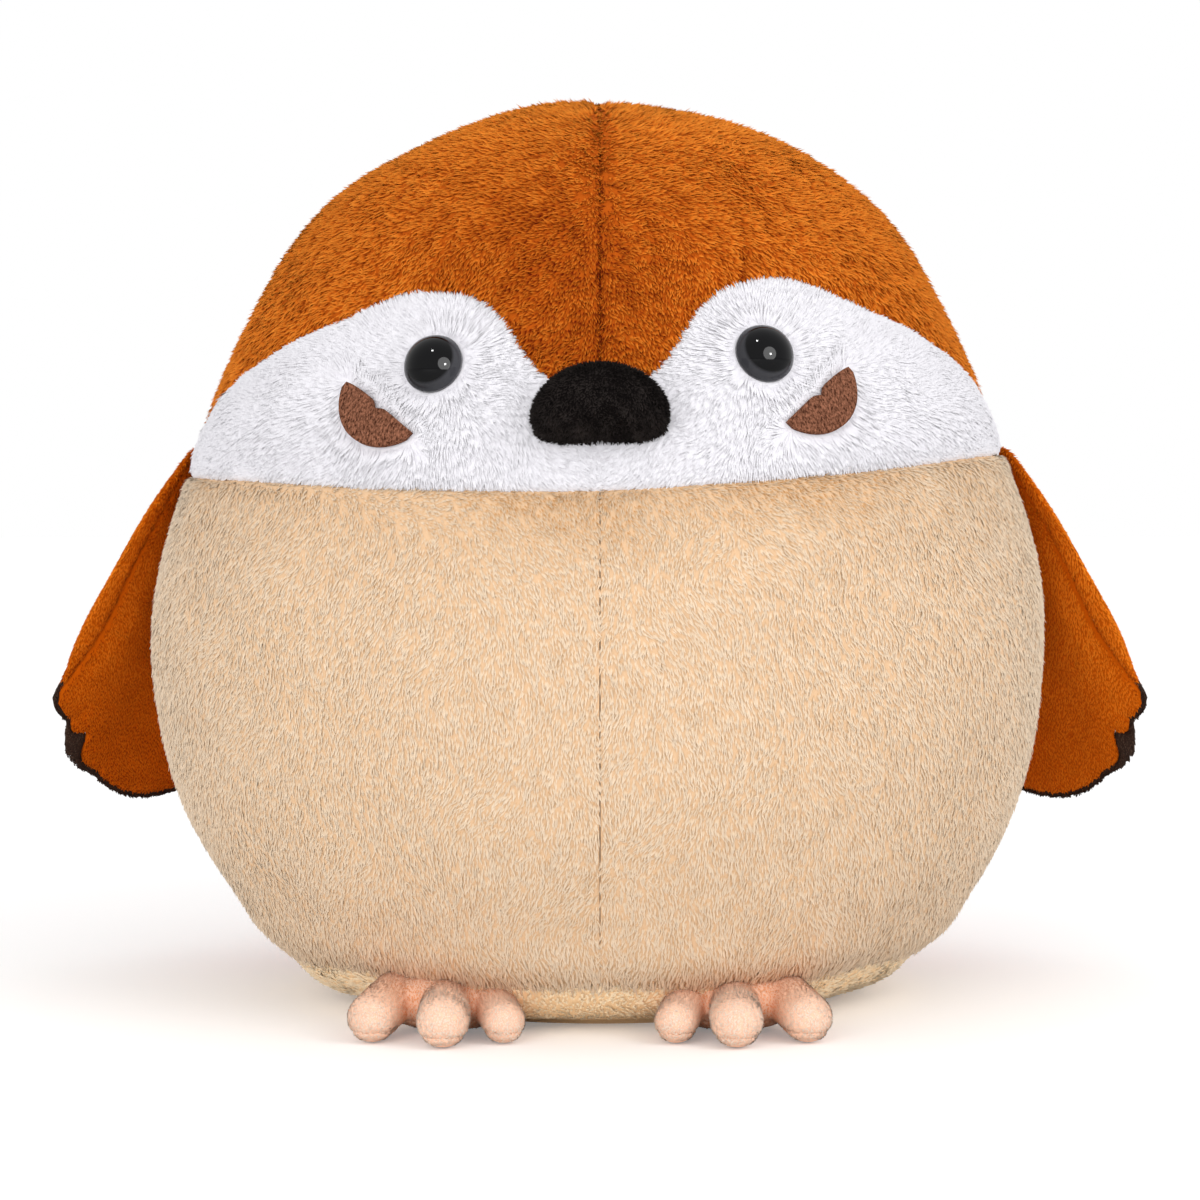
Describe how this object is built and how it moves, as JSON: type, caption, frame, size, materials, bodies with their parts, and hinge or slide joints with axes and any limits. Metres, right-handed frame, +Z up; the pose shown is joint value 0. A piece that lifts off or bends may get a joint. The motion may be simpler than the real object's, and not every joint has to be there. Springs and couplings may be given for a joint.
{
  "type": "plush bird",
  "caption": "Round stuffed plush bird that sits on a flat base, with padded wings and tail that lift on their root seams, toed feet, safety eyes and a soft beak.",
  "frame": {"origin": "centre of the flat rest face of the base panel, where the bird sits", "axes": "+Z up, the bird looks along -Y, its own left side is +X"},
  "size_m": [0.4848, 0.401, 0.382],
  "materials": {
    "rust_plush": "short dense pile, matt",
    "white_fur": "long soft fur, matt",
    "beige_plush": "fine short pile, matt",
    "black_plush": "very short pile, matt",
    "brown_felt": "flecked felt, matt",
    "dark_brown_plush": "short dense pile, matt",
    "peach_plush": "very short pile, matt",
    "eye_plastic": "polished black",
    "washer_plastic": "milky, satin",
    "padding_fibre": "loose white fibre"
  },
  "bodies": {
    "body": {"back_left": "rust_plush", "back_right": "rust_plush", "base_panel": "beige_plush", "beak_filling": "padding_fibre", "beak_lower": "black_plush", "beak_upper": "black_plush", "belly_left": "beige_plush", "belly_right": "beige_plush", "body_stuffing": "padding_fibre", "cheek_left": "brown_felt", "cheek_right": "brown_felt", "crown_left": "rust_plush", "crown_right": "rust_plush", "eye_left": "eye_plastic", "eye_right": "eye_plastic", "eye_washer_left": "washer_plastic", "eye_washer_right": "washer_plastic", "face_left": "white_fur", "face_right": "white_fur", "foot_left_filling": "padding_fibre", "foot_left_sole": "peach_plush", "foot_left_top": "peach_plush", "foot_right_filling": "padding_fibre", "foot_right_sole": "peach_plush", "foot_right_top": "peach_plush"},
    "wing_left": {"wing_left_outer": "rust_plush", "wing_left_inner": "rust_plush", "wing_left_tip": "dark_brown_plush", "wing_left_filling": "padding_fibre"},
    "wing_right": {"wing_right_outer": "rust_plush", "wing_right_inner": "rust_plush", "wing_right_tip": "dark_brown_plush", "wing_right_filling": "padding_fibre"},
    "tail": {"tail_top": "rust_plush", "tail_under": "rust_plush", "tail_filling": "padding_fibre"}
  },
  "joints": [
    {"name": "wing_left_lift", "type": "hinge", "parent": "body", "child": "wing_left", "pos_m": [0.17127, 0.0433, 0.234], "axis": [0.2756, -0.9613, 0], "range_deg": [0, 75]},
    {"name": "wing_right_lift", "type": "hinge", "parent": "body", "child": "wing_right", "pos_m": [-0.17127, 0.0433, 0.234], "axis": [0.2756, 0.9613, 0], "range_deg": [0, 75]},
    {"name": "tail_lift", "type": "hinge", "parent": "body", "child": "tail", "pos_m": [0, 0.1625, 0.098], "axis": [1, 0, 0], "range_deg": [0, 40]}
  ]
}
